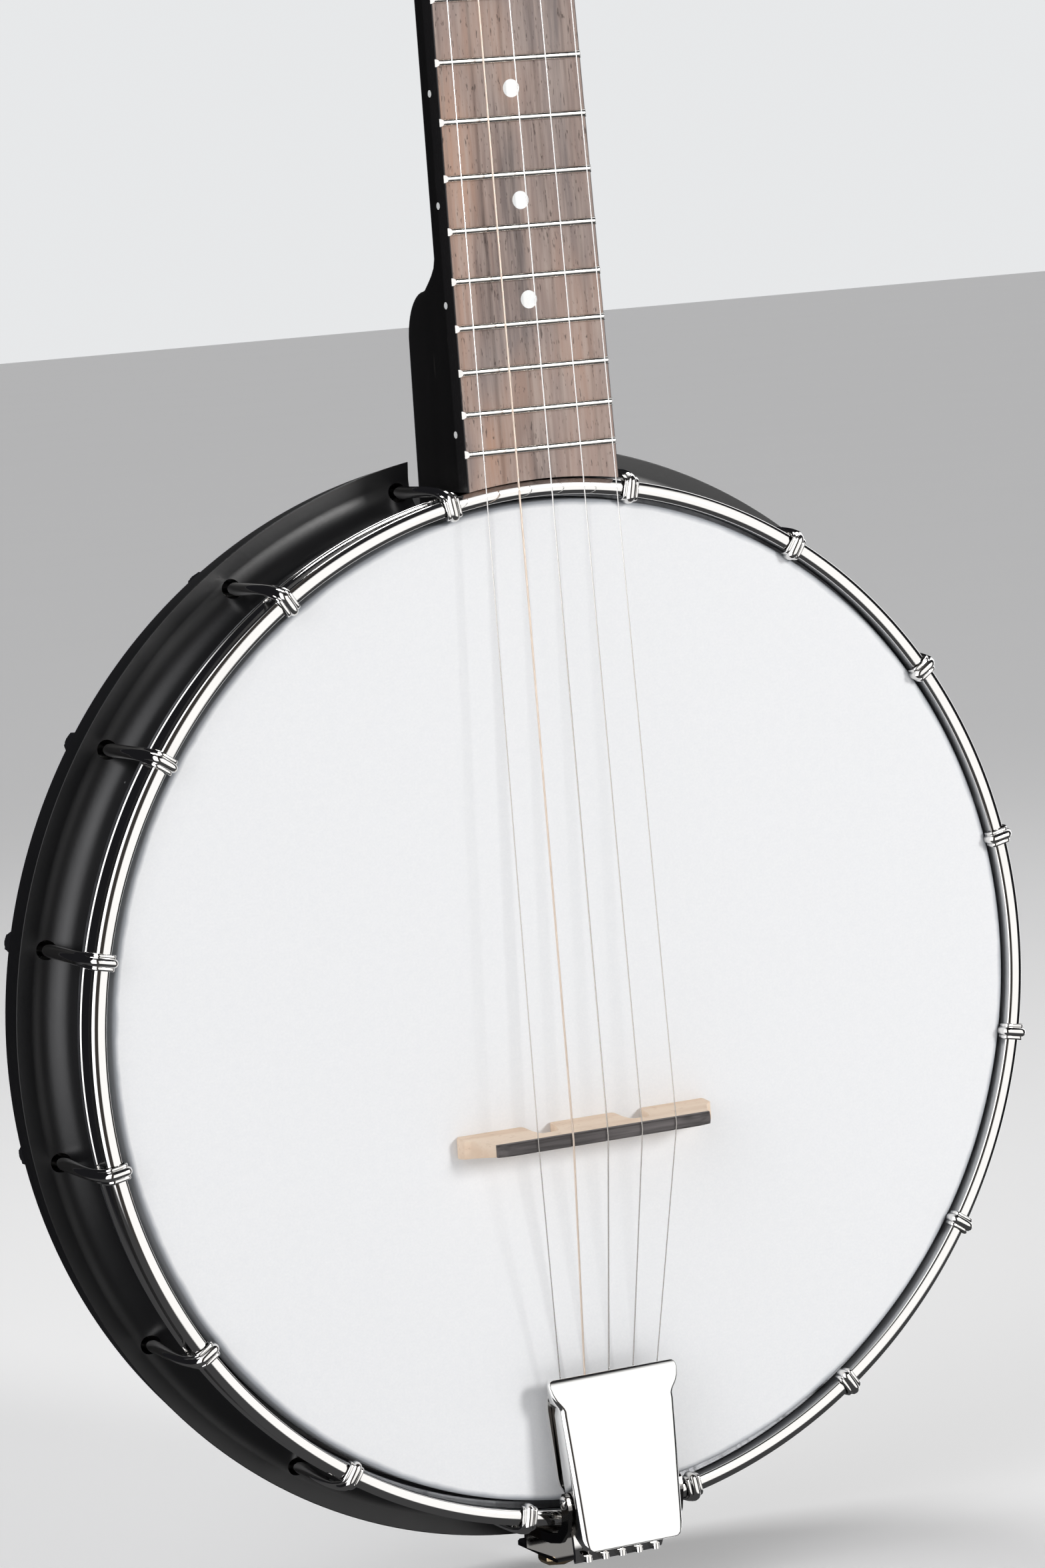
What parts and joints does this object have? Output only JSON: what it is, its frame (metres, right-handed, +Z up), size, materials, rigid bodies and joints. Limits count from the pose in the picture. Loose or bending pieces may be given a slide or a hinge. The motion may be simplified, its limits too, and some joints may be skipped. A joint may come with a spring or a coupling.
{
  "type": "five-string open-back banjo",
  "caption": "Open-back banjo: black composite flanged pot with a frosted head, chrome tension hoop, hooks and hinged clamshell tailpiece, black neck with dark board and geared tuners.",
  "frame": {"origin": "centre of the head's playing surface, which is also where the mount for whatever holds the banjo up is stated", "axes": "+Z up along the neck's centre line, -Y out of the head towards the listener, +X to the treble side (the player's lower side in use), upright as it stands in a stand"},
  "size_m": [0.3106, 0.0828, 0.943],
  "materials": {
    "composite": "satin black moulded composite, faint orange peel",
    "head_film": "frosted white coated polyester film",
    "chrome": "bright plated metal",
    "flesh_metal": "dull grey metal",
    "neck_wood": "satin black stained wood with open pores",
    "rosewood": "unfinished dark brown fingerboard wood with pores",
    "bone": "polished bone-white",
    "black_plastic": "gloss black",
    "maple": "pale bare hardwood with ray flecks",
    "ebony": "dark brown-black bare wood",
    "steel": "plain steel",
    "brass_bolt": "dull yellow brass",
    "bronze_wound": "bronze winding"
  },
  "bodies": {
    "banjo": {"bracket_hook_01": "chrome", "bracket_hook_02": "chrome", "bracket_hook_03": "chrome", "bracket_hook_04": "chrome", "bracket_hook_05": "chrome", "bracket_hook_06": "chrome", "bracket_hook_07": "chrome", "bracket_hook_08": "chrome", "bracket_hook_09": "chrome", "bracket_hook_10": "chrome", "bracket_hook_11": "chrome", "bracket_hook_12": "chrome", "bracket_hook_13": "chrome", "bracket_hook_14": "chrome", "bracket_hook_15": "chrome", "bracket_hook_16": "chrome", "bridge": "maple", "bridge_cap": "ebony", "coordinator_rod": "steel", "fifth_string_nut": "bone", "fifth_tuner_body": "chrome", "flesh_hoop": "flesh_metal", "fretboard": "rosewood", "head": "head_film", "neck": "neck_wood", "neck_hanger_bolt": "steel", "pot_rim": "composite", "rod_end_bolt": "brass_bolt", "string_1": "steel", "string_2": "steel", "string_3": "steel", "string_4": "bronze_wound", "string_5": "steel", "string_nut": "bone", "tailpiece_base": "chrome", "tailpiece_bracket": "chrome", "tailpiece_hinge_pin": "chrome", "tension_hoop": "chrome", "truss_rod_cover": "black_plastic", "tuner_1_housing": "chrome", "tuner_2_housing": "chrome", "tuner_3_housing": "chrome", "tuner_4_housing": "chrome"},
    "tuner_1_button_body": {"tuner_1_button": "chrome"},
    "tuner_1_post_body": {"tuner_1_post": "chrome"},
    "tuner_2_button_body": {"tuner_2_button": "chrome"},
    "tuner_2_post_body": {"tuner_2_post": "chrome"},
    "tuner_3_button_body": {"tuner_3_button": "chrome"},
    "tuner_3_post_body": {"tuner_3_post": "chrome"},
    "tuner_4_button_body": {"tuner_4_button": "chrome"},
    "tuner_4_post_body": {"tuner_4_post": "chrome"},
    "fifth_tuner_button_body": {"fifth_tuner_button": "chrome"},
    "fifth_tuner_post_body": {"fifth_tuner_post": "chrome"},
    "tailpiece_cover_body": {"tailpiece_cover": "chrome"}
  },
  "joints": [
    {"name": "tuner_1_button_turn", "type": "hinge", "parent": "banjo", "child": "tuner_1_button_body", "pos_m": [0.033, 0.04317, 0.66136], "axis": [1, 0, 0], "continuous": true},
    {"name": "tuner_1_post_turn", "type": "hinge", "parent": "banjo", "child": "tuner_1_post_body", "pos_m": [0.0237, 0.02385, 0.66654], "axis": [0, -0.9659, 0.2588], "continuous": true},
    {"name": "tuner_2_button_turn", "type": "hinge", "parent": "banjo", "child": "tuner_2_button_body", "pos_m": [0.033, 0.05741, 0.71449], "axis": [1, 0, 0], "continuous": true},
    {"name": "tuner_2_post_turn", "type": "hinge", "parent": "banjo", "child": "tuner_2_post_body", "pos_m": [0.0237, 0.03809, 0.71966], "axis": [0, -0.9659, 0.2588], "continuous": true},
    {"name": "tuner_3_button_turn", "type": "hinge", "parent": "banjo", "child": "tuner_3_button_body", "pos_m": [-0.0256, 0.05741, 0.71449], "axis": [-1, 0, 0], "continuous": true},
    {"name": "tuner_3_post_turn", "type": "hinge", "parent": "banjo", "child": "tuner_3_post_body", "pos_m": [-0.0163, 0.03809, 0.71966], "axis": [0, -0.9659, 0.2588], "continuous": true},
    {"name": "tuner_4_button_turn", "type": "hinge", "parent": "banjo", "child": "tuner_4_button_body", "pos_m": [-0.0256, 0.04317, 0.66136], "axis": [-1, 0, 0], "continuous": true},
    {"name": "tuner_4_post_turn", "type": "hinge", "parent": "banjo", "child": "tuner_4_post_body", "pos_m": [-0.0163, 0.02385, 0.66654], "axis": [0, -0.9659, 0.2588], "continuous": true},
    {"name": "fifth_tuner_button_turn", "type": "hinge", "parent": "banjo", "child": "fifth_tuner_button_body", "pos_m": [-0.0348, 0.015, 0.482], "axis": [-1, 0, 0], "continuous": true},
    {"name": "fifth_tuner_post_turn", "type": "hinge", "parent": "banjo", "child": "fifth_tuner_post_body", "pos_m": [-0.0193, 0.015, 0.482], "axis": [-1, 0, 0], "continuous": true},
    {"name": "tailpiece_cover_hinge", "type": "hinge", "parent": "banjo", "child": "tailpiece_cover_body", "pos_m": [0, -0.0092, -0.138], "axis": [1, 0, 0], "range_deg": [0, 22]}
  ],
  "couplings": [
    {"joint": "tuner_1_post_turn", "follows": "tuner_1_button_turn", "ratio": 0.071429},
    {"joint": "tuner_2_post_turn", "follows": "tuner_2_button_turn", "ratio": 0.071429},
    {"joint": "tuner_3_post_turn", "follows": "tuner_3_button_turn", "ratio": 0.071429},
    {"joint": "tuner_4_post_turn", "follows": "tuner_4_button_turn", "ratio": 0.071429},
    {"joint": "fifth_tuner_post_turn", "follows": "fifth_tuner_button_turn", "ratio": 0.25}
  ]
}
